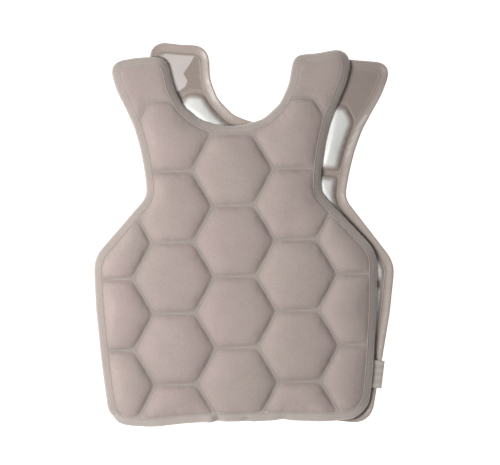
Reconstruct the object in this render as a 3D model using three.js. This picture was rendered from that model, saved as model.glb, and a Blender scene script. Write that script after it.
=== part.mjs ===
// A cooling vest: a front and a back body panel of honeycomb cells, laid flat and slightly fanned.
// Each panel is a fabric cover welded to a clear film lining, with a block of phase-change wax in every cell.
// The back panel lies with its fabric down and its film up. The front panel lies on it, fabric up.
// Millimetres, +Z up, +Y towards the shoulders, +X to the right as seen from above.

import * as THREE from 'three';

// Panel outline, in the panel's own frame: x across from the centre line, y up from the hem.
const PANEL_WIDTH = 398;
const PANEL_HEIGHT = 515;
const NECK_WIDTH = 179;
const NECK_DEPTH = 100;
const TAB_WIDTH = 80;
const CHEST_WIDTH = 244;
const ARMPIT_BELOW_SEAM = 34;
const FLANK_BELOW_CELL = 19;
const HEM_WIDTH = 363;
const HEM_WAVE = 1.5;
const TAB_RADIUS = 15;
const ARMPIT_RADIUS = 18;
const FLANK_RADIUS = 42;
const HEM_RADIUS = 30;

// Honeycomb: its rows fill the panel from the tab's empty pad down to a seam just above the hem.
// Its columns fill the width, the outermost ones centred a little inside the flank's edge.
// The armpit is set below the first seam under the pad, the flank's corner below the first side cell's middle.
const HALF_ROW_COUNT = 9;
const TAB_PAD_DEPTH = 62;
const LAST_SEAM_UP = 5;
const SIDE_COLUMNS = 2;
const OUTER_COLUMN_INSET = 26.5;
const SEAM_WIDTH = 4;
const FLANGE_WIDTH = 13;
const SMALLEST_CELL_SHARE = 0.2;

// Walls and the clearance between pieces that touch.
const COVER_WALL = 1.4;
const FILM_WALL = 0.8;
const CLEARANCE = 0.3;

// Pillow profile: how far in from a seam the slope runs, and how round its shoulder is.
const SLOPE_REACH = 34;
const SLOPE_POWER = 2.4;

// How high the pillows stand off the weld plane, and how flat they are pressed where they lie on something.
const COVER_RISE = 9.5;
const LINING_RISE = 7;
const BACK_COVER_PRESSED = 4.4;
const FRONT_LINING_PRESSED = 4;

// How far the back panel's hem is drawn up by its gathers.
const BACK_HEM_DRAWN = 10;

// How far the unfilled rims and shoulder tabs sink.
const FRONT_FLANGE_DROOP = 4;
const FRONT_TAB_DROOP = 5;
const BACK_FLANGE_DROOP = 2.6;
const BACK_TAB_DROOP = 1.2;

// How the two panels are fanned: the turn of each, and the back panel's shift from the front one.
const FRONT_TURN = THREE.MathUtils.degToRad(1.4);
const BACK_TURN = THREE.MathUtils.degToRad(-4.6);
const FAN_ACROSS = 23;
const FAN_UP = 3.8;

// The folded side label, sewn under the front panel's rim on the right flank.
const LABEL_LENGTH = 38;
const LABEL_REACH = 15;
const LABEL_TUCK = 6;
const LABEL_WALL = 1.2;
const LABEL_UP = 63;
const LABEL_DROOP = 2.5;

// The neck curve, from the tab's inner corner to the centre line.
const NECK_CURVE = [
  { across: 0.953, down: 0.196 },
  { across: 0.9, down: 0.44 },
  { across: 0.76, down: 0.7 },
  { across: 0.5, down: 0.905 },
  { across: 0.25, down: 0.975 },
];

// The armhole curve, from the tab's outer corner to the armpit.
const ARMHOLE_CURVE = [
  { inward: 0.03, down: 0.113 },
  { inward: 0.176, down: 0.234 },
  { inward: 0.426, down: 0.365 },
  { inward: 0.662, down: 0.496 },
  { inward: 0.824, down: 0.638 },
  { inward: 0.926, down: 0.78 },
  { inward: 0.982, down: 0.9 },
];

// The flank's edge, from the flank corner to the hem corner.
const FLANK_CURVE = [
  { inward: 0.1, down: 0.3 },
  { inward: 0.46, down: 0.64 },
];

// The hem's slight wave, from its corner to the centre line.
const HEM_CURVE = [
  { across: 0.62, wave: -1 },
  { across: 0.3, wave: 0.4 },
];

// Rings of a pillow, as shares of the way in from its weld to its middle. The wax starts at the first.
const RINGS = [0.17, 0.45];

const ARC_STEP = THREE.MathUtils.degToRad(24);
const SHORTEST_EDGE = 3;
const STRAIGHT_ENOUGH = 0.8;

const FABRIC = new THREE.MeshStandardMaterial({ color: 0xb9aba6, roughness: 0.9, metalness: 0 });
const FILM = new THREE.MeshStandardMaterial({ color: 0xb3a59e, roughness: 0.35, metalness: 0 });
const WAX = new THREE.MeshStandardMaterial({ color: 0xe6e7e2, roughness: 0.5, metalness: 0 });
const TAPE = new THREE.MeshStandardMaterial({ color: 0xaca39c, roughness: 0.7, metalness: 0 });

// The first row of the outer columns hangs from the tab's pad. The grid's middle is two and a half rows down.
const TAB_LINE = PANEL_HEIGHT - TAB_PAD_DEPTH;
const PITCH = (2 * (TAB_LINE - LAST_SEAM_UP)) / HALF_ROW_COUNT;
const COLUMN_PITCH = (PANEL_WIDTH / 2 - OUTER_COLUMN_INSET) / SIDE_COLUMNS;
const GRID_UP = TAB_LINE - 2.5 * PITCH;

// One side of the outline as corners, each with the radius that rounds it, from neck to hem.
function halfSkeleton() {
  const top = PANEL_HEIGHT;
  const armpitUp = TAB_LINE - PITCH - ARMPIT_BELOW_SEAM;
  const flankUp = TAB_LINE - 2 * PITCH - FLANK_BELOW_CELL;
  const neck = NECK_WIDTH / 2;
  const shoulder = neck + TAB_WIDTH;
  const chest = CHEST_WIDTH / 2;
  const hem = HEM_WIDTH / 2;
  const flank = PANEL_WIDTH / 2;
  const corner = (x, y, radius = 0) => ({ at: new THREE.Vector2(x, y), radius });
  return [
    ...NECK_CURVE.map((p) => corner(neck * p.across, top - NECK_DEPTH * p.down)).reverse(),
    corner(neck, top, TAB_RADIUS),
    corner(shoulder, top, TAB_RADIUS),
    ...ARMHOLE_CURVE.map((p) =>
      corner(shoulder - (shoulder - chest) * p.inward, top - (top - armpitUp) * p.down)),
    corner(chest, armpitUp, ARMPIT_RADIUS),
    corner(flank, flankUp, FLANK_RADIUS),
    ...FLANK_CURVE.map((p) => corner(flank - (flank - hem) * p.inward, flankUp * (1 - p.down))),
    corner(hem, 0, HEM_RADIUS),
    ...HEM_CURVE.map((p) => corner(hem * p.across, HEM_WAVE * p.wave)),
  ];
}

// The whole outline, counter-clockwise from the hem's middle.
function skeleton() {
  const right = halfSkeleton().reverse();
  const left = right.map((c) => ({ at: new THREE.Vector2(-c.at.x, c.at.y), radius: c.radius })).reverse();
  const neckCentre = { at: new THREE.Vector2(0, PANEL_HEIGHT - NECK_DEPTH), radius: 0 };
  return [...right, neckCentre, ...left];
}

const leftOf = (v) => new THREE.Vector2(-v.y, v.x);
const step = (a, b) => b.clone().sub(a).normalize();
const neighbours = (list, i) => [list[(i + list.length - 1) % list.length], list[(i + 1) % list.length]];

// Moves every side of a counter-clockwise skeleton inwards, with mitred corners and matching radii.
function insetSkeleton(corners, distance) {
  return corners.map((c, i) => {
    const [before, after] = neighbours(corners, i);
    const into = step(before.at, c.at);
    const out = step(c.at, after.at);
    const bisector = leftOf(into).add(leftOf(out)).normalize();
    const reach = distance / bisector.dot(leftOf(out));
    const convex = into.cross(out) > 0;
    const radius = c.radius === 0 ? 0 : Math.max(c.radius + (convex ? -distance : distance), 0);
    return { at: c.at.clone().addScaledVector(bisector, reach), radius };
  });
}

// Turns a skeleton into a loop of points, with an arc at each rounded corner.
function rounded(corners) {
  return corners.flatMap((c, i) => {
    if (c.radius === 0) return [c.at.clone()];
    const [before, after] = neighbours(corners, i);
    const into = step(before.at, c.at);
    const out = step(c.at, after.at);
    const turn = Math.atan2(into.cross(out), into.dot(out));
    const share = (other) => (other.radius === 0 ? 0.9 : 0.45) * other.at.distanceTo(c.at);
    const room = Math.min(share(before), share(after));
    const cut = Math.min(c.radius * Math.tan(Math.abs(turn) / 2), room);
    const radius = cut / Math.tan(Math.abs(turn) / 2);
    const start = c.at.clone().addScaledVector(into, -cut);
    const centre = start.clone().addScaledVector(leftOf(into), Math.sign(turn) * radius);
    const steps = Math.max(2, Math.ceil(Math.abs(turn) / ARC_STEP));
    return Array.from({ length: steps + 1 }, (_, k) =>
      start.clone().rotateAround(centre, (turn * k) / steps));
  });
}

// The part of a loop on the left of the line from a to b.
function clipByLine(loop, a, b) {
  const side = (p) => step(a, b).cross(p.clone().sub(a));
  return loop.flatMap((p, i) => {
    const next = loop[(i + 1) % loop.length];
    const here = side(p);
    const there = side(next);
    const kept = here >= 0 ? [p.clone()] : [];
    if (here >= 0 !== there >= 0) kept.push(p.clone().lerp(next, here / (here - there)));
    return kept;
  });
}

const clipByConvex = (loop, convex) =>
  convex.reduce((left, a, i) => clipByLine(left, a, convex[(i + 1) % convex.length]), loop);

// Drops points that are nearly doubled or nearly on a straight side.
function tidied(loop) {
  const apart = loop.filter((p, i) => p.distanceTo(loop[(i + 1) % loop.length]) > SHORTEST_EDGE);
  return apart.filter((p, i) => {
    const [before, after] = neighbours(apart, i);
    return Math.abs(step(before, after).cross(p.clone().sub(before))) > STRAIGHT_ENOUGH;
  });
}

function distanceToLoop(p, loop) {
  const side = new THREE.Line3();
  const nearest = new THREE.Vector3();
  const point = new THREE.Vector3(p.x, p.y, 0);
  return Math.min(...loop.map((a, i) => {
    const b = loop[(i + 1) % loop.length];
    side.set(new THREE.Vector3(a.x, a.y, 0), new THREE.Vector3(b.x, b.y, 0));
    return side.closestPointToPoint(point, true, nearest).distanceTo(point);
  }));
}

function centroid(loop) {
  const sum = new THREE.Vector2();
  let doubled = 0;
  loop.forEach((a, i) => {
    const b = loop[(i + 1) % loop.length];
    doubled += a.cross(b);
    sum.addScaledVector(a.clone().add(b), a.cross(b));
  });
  return sum.divideScalar(3 * doubled);
}

const OUTLINE = rounded(skeleton());
const WELD_LINE = rounded(insetSkeleton(skeleton(), FLANGE_WIDTH));

// A flat-topped hexagon of the grid, drawn in by half the weld.
function hexagon(centre) {
  const corners = [[2, 0], [1, 1], [-1, 1], [-2, 0], [-1, -1], [1, -1]].map(([i, j]) =>
    ({ at: new THREE.Vector2((i * COLUMN_PITCH) / 3, (j * PITCH) / 2).add(centre), radius: 0 }));
  return insetSkeleton(corners, SEAM_WIDTH / 2).map((c) => c.at);
}

// The welded cells: every hexagon of the grid, cut by the weld line, that keeps enough of its area.
function honeycomb() {
  const cells = [];
  for (let column = -SIDE_COLUMNS; column <= SIDE_COLUMNS; column += 1) {
    const shift = column % 2 === 0 ? 0.5 : 0;
    const highest = Math.floor((TAB_LINE - GRID_UP) / PITCH - 0.5 - shift + 1e-6) + shift;
    let row = 0;
    for (let k = highest; GRID_UP + k * PITCH > -PITCH / 2; k -= 1) {
      const centre = new THREE.Vector2(COLUMN_PITCH * column, GRID_UP + k * PITCH);
      const loop = tidied(clipByConvex(WELD_LINE, hexagon(centre)));
      const whole = THREE.ShapeUtils.area(hexagon(centre));
      if (loop.length < 4 || THREE.ShapeUtils.area(loop) < SMALLEST_CELL_SHARE * whole) continue;
      row += 1;
      const letters = column === 0 ? 'c' : (column < 0 ? 'l' : 'r').repeat(Math.abs(column));
      const name = `${letters}${row}`;
      const middle = centroid(loop);
      cells.push({ name, loop, middle });
    }
  }
  return cells;
}

// The unfilled pads of the two shoulder tabs, above the topmost cells.
function tabPads() {
  const low = TAB_LINE + SEAM_WIDTH / 2;
  const wide = PANEL_WIDTH;
  return [-1, 1].map((side) => {
    const end = new THREE.Vector2(0, side * PANEL_HEIGHT);
    const half = clipByLine(WELD_LINE, end, end.clone().negate());
    return tidied(clipByLine(half, new THREE.Vector2(-wide, low), new THREE.Vector2(wide, low)));
  });
}

const CELLS = honeycomb();
const PADS = tabPads();

// How far a pillow stands off the weld plane, a distance in from its weld, unless pressed flat lower.
function pillow(distance, rise) {
  const left = 1 - Math.min(distance / SLOPE_REACH, 1);
  return Math.min(rise.full * (1 - left ** SLOPE_POWER), rise.pressed);
}

// How far the weld plane has sunk at a point: the tabs bend down, and so does the rim outside the weld.
function droopAt(p, onRim, spec) {
  const along = THREE.MathUtils.clamp((p.y - TAB_LINE) / (PANEL_HEIGHT - TAB_LINE), 0, 1);
  return spec.tabDroop * along ** 2 + (onRim ? spec.flangeDroop : 0);
}

// A point moved a hair off any straight line it shares with others, so that a cut keeps all of them.
const offLine = (p) => new THREE.Vector2(p.x + 0.01 * Math.sin(7 * p.y), p.y + 0.01 * Math.sin(5 * p.x));

const angleAt = (corner, a, b) => {
  const one = a.clone().sub(corner);
  const two = b.clone().sub(corner);
  return Math.abs(Math.atan2(one.cross(two), one.dot(two)));
};

// Swaps the shared side of two neighbouring triangles wherever the other diagonal gives fuller ones.
function relaxed(points, triangles) {
  const all = triangles.map((t) => [...t]);
  const area = (...ids) => THREE.ShapeUtils.area(ids.map((id) => points[id]));
  for (let pass = 0; pass < 40; pass += 1) {
    const owner = new Map();
    all.forEach((t, i) => t.forEach((a, k) => owner.set(`${a},${t[(k + 1) % 3]}`, i)));
    const touched = new Set();
    for (const [side, i] of owner) {
      const [a, b] = side.split(',').map(Number);
      const j = owner.get(`${b},${a}`);
      if (j === undefined || touched.has(i) || touched.has(j)) continue;
      const c = all[i].find((id) => id !== a && id !== b);
      const d = all[j].find((id) => id !== a && id !== b);
      const facing = angleAt(points[c], points[a], points[b]) + angleAt(points[d], points[a], points[b]);
      if (facing < Math.PI + 1e-6 || area(a, d, c) < 1e-6 || area(d, b, c) < 1e-6) continue;
      all[i] = [a, d, c];
      all[j] = [d, b, c];
      touched.add(i).add(j);
    }
    if (touched.size === 0) break;
  }
  return all;
}

// A plan of points, each with the height of both sheets off the weld plane, and its triangles and rim.
class Plan {
  constructor(spec) {
    this.spec = spec;
    this.points = [];
    this.cover = [];
    this.lining = [];
    this.droop = [];
    this.triangles = [];
    this.rim = [];
  }

  // Adds a point, a distance in from its pillow's weld.
  add(p, distance = 0, onRim = false) {
    this.points.push(p);
    this.cover.push(pillow(distance, this.spec.coverRise));
    this.lining.push(pillow(distance, this.spec.liningRise));
    this.droop.push(droopAt(p, onRim, this.spec));
    return this.points.length - 1;
  }

  ring(loop, onRim = false) {
    return loop.map((p) => this.add(p, 0, onRim));
  }

  // Adds a ring of a pillow, a share of the way in from its weld to its middle.
  innerRing(cell, share) {
    return cell.loop.map((p) => {
      const at = p.clone().lerp(cell.middle, share);
      return this.add(at, distanceToLoop(at, cell.loop));
    });
  }

  // Joins two rings of the same count, the outer one first.
  bridge(outer, inner) {
    outer.forEach((a, i) => {
      const j = (i + 1) % outer.length;
      this.triangles.push([a, outer[j], inner[j]], [a, inner[j], inner[i]]);
    });
  }

  // Builds a pillow inwards from one of its rings, through the others, to its middle.
  raise(cell, start, shares) {
    let outer = start;
    for (const share of shares) {
      const inner = this.innerRing(cell, share);
      this.bridge(outer, inner);
      outer = inner;
    }
    const top = this.add(cell.middle, distanceToLoop(cell.middle, cell.loop));
    outer.forEach((a, i) => this.triangles.push([a, outer[(i + 1) % outer.length], top]));
  }

  // Fills the space inside one loop and outside the others.
  fill(outer, holes) {
    const at = (ids) => ids.map((id) => offLine(this.points[id]));
    const ids = [outer, ...holes].flat();
    const cut = THREE.ShapeUtils.triangulateShape(at(outer), holes.map(at));
    const named = cut.map((t) => t.map((k) => ids[k]));
    this.triangles.push(...relaxed(this.points, named));
  }
}

// The plan of a whole panel: rim, welds and pads flat, and a pillow over each cell.
function panelPlan(spec) {
  const plan = new Plan(spec);
  plan.rim = plan.ring(OUTLINE, true);
  const pads = PADS.map((loop) => plan.ring(loop));
  const welds = CELLS.map((cell) => plan.ring(cell.loop));
  plan.fill(plan.rim, [...pads, ...welds].map((hole) => hole.toReversed()));
  pads.forEach((pad) => plan.fill(pad, []));
  CELLS.forEach((cell, i) => plan.raise(cell, welds[i], RINGS));
  return plan;
}

// The plan of one cell's wax, which starts at the pillow's first ring.
function waxPlan(cell, spec) {
  const plan = new Plan(spec);
  plan.rim = plan.innerRing(cell, RINGS[0]);
  plan.raise(cell, plan.rim, RINGS.slice(1));
  return plan;
}

// Where a point of the plan comes to lie once the hem is drawn up, which dies out at the grid's middle.
function drawnUp(p, spec) {
  const below = Math.max(1 - p.y / GRID_UP, 0);
  return [p.x, p.y + spec.hemDrawn * below ** 1.5];
}

// The solid between two faces over one plan. Each face gives a height for a point's number.
function slab(name, plan, upper, lower, material) {
  const count = plan.points.length;
  const positions = [upper, lower].flatMap((face) =>
    plan.points.flatMap((p, i) => [...drawnUp(p, plan.spec), face(i) - plan.droop[i]]));
  const faces = plan.triangles.flatMap(([a, b, c]) => [a, b, c, c + count, b + count, a + count]);
  plan.rim.forEach((a, i) => {
    const b = plan.rim[(i + 1) % plan.rim.length];
    faces.push(a + count, b + count, b, a + count, b, a);
  });
  const geometry = new THREE.BufferGeometry();
  geometry.setAttribute('position', new THREE.Float32BufferAttribute(positions, 3));
  geometry.setIndex(faces);
  geometry.computeVertexNormals();
  const mesh = new THREE.Mesh(geometry, material);
  mesh.name = name;
  return mesh;
}

// A face a little off one sheet of the plan, on the upper side of the weld plane or the lower one.
const faceOn = (heights, side, off) => (i) => side * (heights[i] + off);

// One welded sheet of a panel, on its side of the weld plane.
function sheet(name, plan, heights, side, thickness, material) {
  const near = faceOn(heights, side, CLEARANCE / 2);
  const far = faceOn(heights, side, CLEARANCE / 2 + thickness);
  return side > 0 ? slab(name, plan, far, near, material) : slab(name, plan, near, far, material);
}

// The wax of one cell, between the two sheets.
function wax(name, cell, spec) {
  const plan = waxPlan(cell, spec);
  const [above, below] = spec.side > 0 ? [plan.cover, plan.lining] : [plan.lining, plan.cover];
  return slab(name, plan, faceOn(above, 1, -CLEARANCE / 2), faceOn(below, -1, -CLEARANCE / 2), WAX);
}

function panel(name, spec) {
  const group = new THREE.Group();
  const plan = panelPlan(spec);
  group.add(sheet(`${name}_cover`, plan, plan.cover, spec.side, COVER_WALL, FABRIC));
  group.add(sheet(`${name}_lining`, plan, plan.lining, -spec.side, FILM_WALL, FILM));
  CELLS.forEach((cell) => group.add(wax(`${name}_wax_${cell.name}`, cell, spec)));
  return group;
}

// Which way each panel's cover faces, how its pillows rise and how its unfilled parts sink.
const BACK = {
  side: -1,
  coverRise: { full: COVER_RISE, pressed: BACK_COVER_PRESSED },
  liningRise: { full: LINING_RISE, pressed: LINING_RISE },
  hemDrawn: BACK_HEM_DRAWN,
  flangeDroop: BACK_FLANGE_DROOP,
  tabDroop: BACK_TAB_DROOP,
};
const FRONT = {
  side: 1,
  coverRise: { full: COVER_RISE, pressed: COVER_RISE },
  liningRise: { full: LINING_RISE, pressed: FRONT_LINING_PRESSED },
  hemDrawn: 0,
  flangeDroop: FRONT_FLANGE_DROOP,
  tabDroop: FRONT_TAB_DROOP,
};

// Weld plane heights above the floor: the back panel's pillows rest on it, the front ones on the back's.
const BACK_WELD_UP = CLEARANCE / 2 + COVER_WALL + BACK_COVER_PRESSED;
const BACK_TOP = BACK_WELD_UP + CLEARANCE / 2 + FILM_WALL + LINING_RISE;
const FRONT_WELD_UP = BACK_TOP + CLEARANCE + FRONT_LINING_PRESSED + FILM_WALL + CLEARANCE / 2;

// Where the panel's edge on the right flank is, at a height above the hem, and which way it runs.
function flankEdge(up) {
  const i = OUTLINE.findIndex((p, k) => {
    const next = OUTLINE[(k + 1) % OUTLINE.length];
    return p.x > 0 && p.y <= up && next.y > up;
  });
  const [a, b] = [OUTLINE[i], OUTLINE[(i + 1) % OUTLINE.length]];
  return { at: a.clone().lerp(b, (up - a.y) / (b.y - a.y)), along: step(a, b) };
}

// The side label: a tape tucked under the rim, reaching past its edge and drooping at its free end.
function sideLabel() {
  const { at, along } = flankEdge(LABEL_UP);
  const across = leftOf(along).negate();
  const seat = -FRONT_FLANGE_DROOP - CLEARANCE / 2 - FILM_WALL - CLEARANCE;
  const sunk = (reach) => LABEL_DROOP * (Math.max(reach, 0) / LABEL_REACH) ** 1.5;
  const reaches = [-LABEL_TUCK, 0, LABEL_REACH / 2, LABEL_REACH];
  const plan = new Plan(FRONT);
  const rows = [-LABEL_LENGTH / 2, LABEL_LENGTH / 2].map((shift) => reaches.map((reach) =>
    plan.add(at.clone().addScaledVector(along, shift).addScaledVector(across, reach))));
  plan.fill([...rows[0], ...rows[1].toReversed()], []);
  plan.rim = [...rows[0], ...rows[1].toReversed()];
  const face = (low) => (i) => seat - low - sunk(reaches[i % reaches.length]);
  return slab('side_label', plan, face(0), face(LABEL_WALL), TAPE);
}

// Turns a panel about the middle of its grid, then sets it down.
function laid(group, turn, across, up, height) {
  const pivot = new THREE.Vector2(0, GRID_UP).rotateAround(new THREE.Vector2(), turn);
  group.rotation.z = turn;
  group.position.set(across - pivot.x, up - pivot.y, height);
  return group;
}

const front = panel('front', FRONT);
front.add(sideLabel());

const vest = new THREE.Group();
vest.add(laid(panel('back', BACK), BACK_TURN, FAN_ACROSS, FAN_UP, BACK_WELD_UP));
vest.add(laid(front, FRONT_TURN, 0, 0, FRONT_WELD_UP));

const bounds = new THREE.Box3().setFromObject(vest, true);
const middle = bounds.getCenter(new THREE.Vector3());
vest.position.set(-middle.x, -middle.y, -bounds.min.z);

export default vest;
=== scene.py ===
"""A cooling vest: a front and a back panel of wax-filled honeycomb pillows, laid flat and fanned.

Each panel is a knitted cover welded to a thin film, with a block of wax in every cell. The front
panel lies on the back one with its cloth up. The back one shows its film along the right side.
Sizes are millimetres in a panel's own frame until a mesh is made, and metres after that.
"""

import logging
import math
from dataclasses import dataclass, field
from enum import Enum

import bpy
import numpy as np
from mathutils import Matrix, Vector
from mathutils.geometry import delaunay_2d_cdt


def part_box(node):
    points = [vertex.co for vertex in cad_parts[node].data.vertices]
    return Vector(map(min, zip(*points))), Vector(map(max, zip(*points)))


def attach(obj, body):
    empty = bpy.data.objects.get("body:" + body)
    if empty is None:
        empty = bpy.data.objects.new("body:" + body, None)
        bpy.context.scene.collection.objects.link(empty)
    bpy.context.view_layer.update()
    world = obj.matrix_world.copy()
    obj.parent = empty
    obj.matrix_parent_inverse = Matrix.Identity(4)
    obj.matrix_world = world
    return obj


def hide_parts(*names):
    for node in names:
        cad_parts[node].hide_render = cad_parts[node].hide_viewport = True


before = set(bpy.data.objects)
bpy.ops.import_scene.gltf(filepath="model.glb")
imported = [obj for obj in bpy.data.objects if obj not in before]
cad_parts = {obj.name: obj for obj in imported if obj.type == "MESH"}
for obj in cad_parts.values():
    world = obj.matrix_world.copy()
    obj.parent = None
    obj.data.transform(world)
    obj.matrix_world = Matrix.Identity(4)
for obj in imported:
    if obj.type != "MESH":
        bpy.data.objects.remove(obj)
LOG = logging.getLogger("cooling_vest")
MM = 0.001


class Face(Enum):
    """Which way the outer face of a sheet looks."""

    UP = 1
    DOWN = -1


def linear(code: int) -> tuple[float, float, float, float]:
    """Turns an sRGB hex value into a linear colour with full alpha."""
    parts = [((code >> shift) & 255) / 255 for shift in (16, 8, 0)]
    lit = [c / 12.92 if c <= 0.04045 else ((c + 0.055) / 1.055) ** 2.4 for c in parts]
    return (*lit, 1.0)


def add_node(tree: bpy.types.NodeTree, kind: str, inputs: dict | None = None,
             **settings: object) -> bpy.types.Node:
    """Adds a node with its settings, values and links.

    Args:
        tree: The node tree that gets the node.
        kind: The node's class name.
        inputs: What goes into its sockets, by name or number: a socket is linked, a value is set.
        **settings: The node's own settings, by name.

    Returns:
        The new node.
    """
    node = tree.nodes.new(kind)
    for key, value in settings.items():
        setattr(node, key, value)
    for key, value in (inputs or {}).items():
        if isinstance(value, bpy.types.NodeSocket):
            tree.links.new(value, node.inputs[key])
        else:
            node.inputs[key].default_value = value
    return node


def ramp(values: np.ndarray, start: np.ndarray | float, end: np.ndarray | float) -> np.ndarray:
    """Rises evenly from 0 at the start to 1 at the end, and is flat beyond them."""
    return np.clip((values - start) / (end - start), 0, 1)


def bell(values: np.ndarray, reach: np.ndarray | float) -> np.ndarray:
    """Falls smoothly from 1 at zero to about a third at the reach."""
    return np.exp(-(values / reach) ** 2)


# ---- flat shapes -------------------------------------------------------------------------------


@dataclass(frozen=True)
class Corner:
    """A corner of an outline, with the radius that rounds it."""

    at: Vector
    radius: float = 0.0


def left_of(v: Vector) -> Vector:
    """Turns a direction a quarter turn to the left."""
    return Vector((-v.y, v.x))


def inset(corners: list[Corner], distance: float) -> list[Corner]:
    """Moves every side of a counter-clockwise outline inwards, with mitred corners.

    Args:
        corners: The outline's corners.
        distance: How far its sides move, in millimetres.

    Returns:
        The corners of the smaller outline.
    """
    moved = []
    for i, corner in enumerate(corners):
        into = (corner.at - corners[i - 1].at).normalized()
        out = (corners[(i + 1) % len(corners)].at - corner.at).normalized()
        bisector = (left_of(into) + left_of(out)).normalized()
        reach = distance / bisector.dot(left_of(out))
        change = -distance if into.cross(out) > 0 else distance
        radius = max(corner.radius + change, 0.0) if corner.radius else 0.0
        moved.append(Corner(corner.at + bisector * reach, radius))
    return moved


def rounded(corners: list[Corner], arc_step: float = math.radians(8)) -> list[Vector]:
    """Turns corners into a loop of points, with an arc at each rounded corner.

    Args:
        corners: The outline's corners.
        arc_step: The turn between two points of an arc.

    Returns:
        The loop's points.
    """
    loop = []
    for i, corner in enumerate(corners):
        if not corner.radius:
            loop.append(corner.at.copy())
            continue
        before, after = corners[i - 1], corners[(i + 1) % len(corners)]
        into, out = (corner.at - before.at).normalized(), (after.at - corner.at).normalized()
        turn = math.atan2(into.cross(out), into.dot(out))
        room = min((0.45 if c.radius else 0.9) * (c.at - corner.at).length for c in (before, after))
        cut = min(corner.radius * math.tan(abs(turn) / 2), room)
        radius = cut / math.tan(abs(turn) / 2)
        start = corner.at - into * cut
        centre = start + left_of(into) * math.copysign(radius, turn)
        steps = max(3, math.ceil(abs(turn) / arc_step))
        for k in range(steps + 1):
            loop.append(centre + Matrix.Rotation(turn * k / steps, 2) @ (start - centre))
    return loop


def resampled(loop: np.ndarray, spacing: float) -> np.ndarray:
    """Spreads points evenly along a closed loop.

    Args:
        loop: The loop's points, one row each.
        spacing: The distance between two points, in millimetres.

    Returns:
        The evenly spread points.
    """
    closed = np.vstack([loop, loop[:1]])
    along = np.concatenate([[0], np.cumsum(np.linalg.norm(np.diff(closed, axis=0), axis=1))])
    count = max(8, round(along[-1] / spacing))
    places = np.linspace(0, along[-1], count, endpoint=False)
    return np.column_stack([np.interp(places, along, closed[:, axis]) for axis in (0, 1)])


def smoothed(loop: np.ndarray, rounds: int) -> np.ndarray:
    """Rounds a closed loop off by moving each point towards its neighbours' middle.

    Args:
        loop: The loop's points, one row each.
        rounds: How many times every point moves.

    Returns:
        The rounder loop.
    """
    for _ in range(rounds):
        loop = 0.5 * loop + 0.25 * (np.roll(loop, 1, axis=0) + np.roll(loop, -1, axis=0))
    return loop


def clipped(loop: list[Vector], a: Vector, b: Vector) -> list[Vector]:
    """Keeps the part of a loop on the left of the line from one point to another.

    Args:
        loop: The loop's points.
        a: Where the line starts.
        b: Where it ends.

    Returns:
        The points of the part that is kept.
    """
    kept = []
    for i, p in enumerate(loop):
        q = loop[(i + 1) % len(loop)]
        here, there = ((b - a).cross(x - a) for x in (p, q))
        if here >= 0:
            kept.append(p)
        if (here >= 0) != (there >= 0):
            kept.append(p.lerp(q, here / (here - there)))
    return kept


def inside(points: np.ndarray, loop: np.ndarray) -> np.ndarray:
    """Tells which points lie inside a closed loop.

    Args:
        points: The points, one row each.
        loop: The loop's points.

    Returns:
        True for each point that is inside.
    """
    x, y = points[:, :1], points[:, 1:]
    a, b = loop, np.roll(loop, -1, axis=0)
    spans = (a[:, 1] > y) != (b[:, 1] > y)
    rise = np.where(b[:, 1] == a[:, 1], 1e-9, b[:, 1] - a[:, 1])
    return (np.sum(spans & (x < a[:, 0] + (b[:, 0] - a[:, 0]) * (y - a[:, 1]) / rise), axis=1) % 2) == 1


def nearest(points: np.ndarray, loop: np.ndarray) -> tuple[np.ndarray, np.ndarray]:
    """Finds a counter-clockwise loop's nearest side to each point.

    Args:
        points: The points, one row each.
        loop: The loop's points.

    Returns:
        Each point's distance from that side, and how far to the right the side's way out looks, -1 to 1.
    """
    side = np.roll(loop, -1, axis=0) - loop
    across, up = points[:, :1] - loop[:, 0], points[:, 1:] - loop[:, 1]
    share = np.clip((across * side[:, 0] + up * side[:, 1]) / np.sum(side * side, axis=1), 0, 1)
    across -= share * side[:, 0]
    up -= share * side[:, 1]
    away = across * across + up * up
    first = np.argmin(away, axis=1)
    outwards = side[:, 1] / np.linalg.norm(side, axis=1)
    return np.sqrt(away[np.arange(len(points)), first]), outwards[first]


def distance_to(points: np.ndarray, loop: np.ndarray) -> np.ndarray:
    """Measures how far points are from a closed loop's sides."""
    return nearest(points, loop)[0]


def as_rows(loop: list[Vector]) -> np.ndarray:
    """Turns a loop of vectors into rows of numbers."""
    return np.array([tuple(p) for p in loop])


@dataclass(frozen=True)
class Cell:
    """A welded cell of the honeycomb: its name and its weld line."""

    name: str
    loop: np.ndarray


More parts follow.
